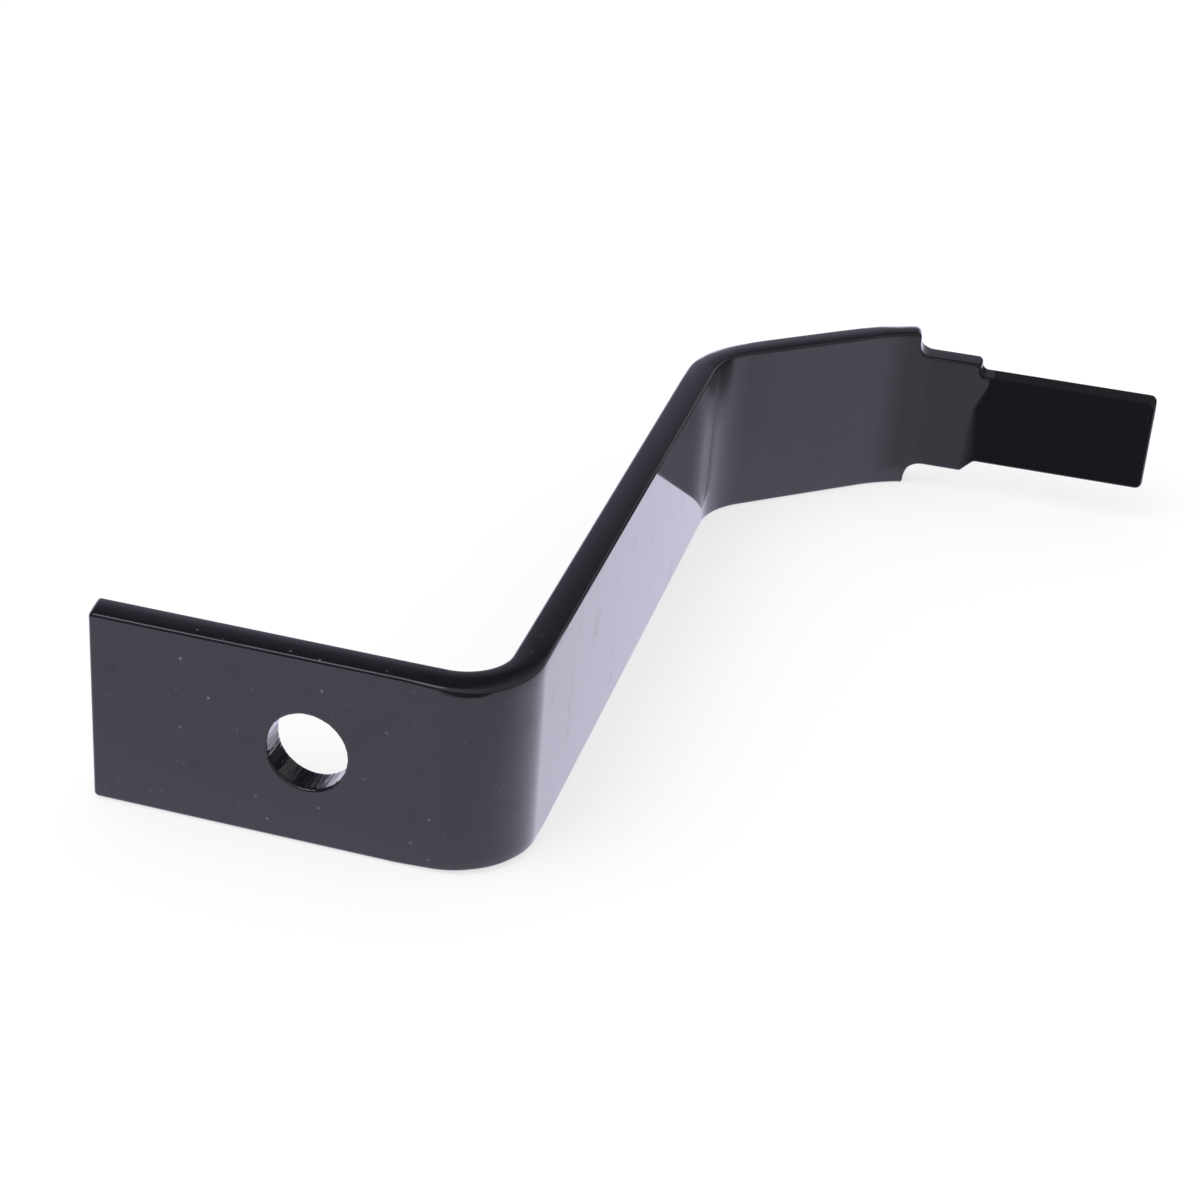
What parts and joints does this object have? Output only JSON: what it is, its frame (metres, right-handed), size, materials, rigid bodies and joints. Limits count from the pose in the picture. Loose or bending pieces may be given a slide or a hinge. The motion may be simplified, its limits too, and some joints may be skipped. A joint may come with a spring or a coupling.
{
  "type": "offset mounting bracket",
  "caption": "Folded flat steel bar bracket in gloss black, with a bolt hole in one end flange and a stepped flat tongue at the other end of a long web.",
  "frame": {"origin": "middle of the bar's plan box, at the lowest point of its long lower edge", "axes": "+X along the bolt flange from its free end to the first fold, +Y from the flange's front face to its back and on along the web, +Z across the bar's width"},
  "size_m": [0.1116, 0.1312, 0.0251],
  "materials": {
    "gloss_black_coat": "smooth gloss black coat over steel, with fine specks"
  },
  "bodies": {
    "root": {"bracket": "gloss_black_coat"}
  },
  "joints": []
}
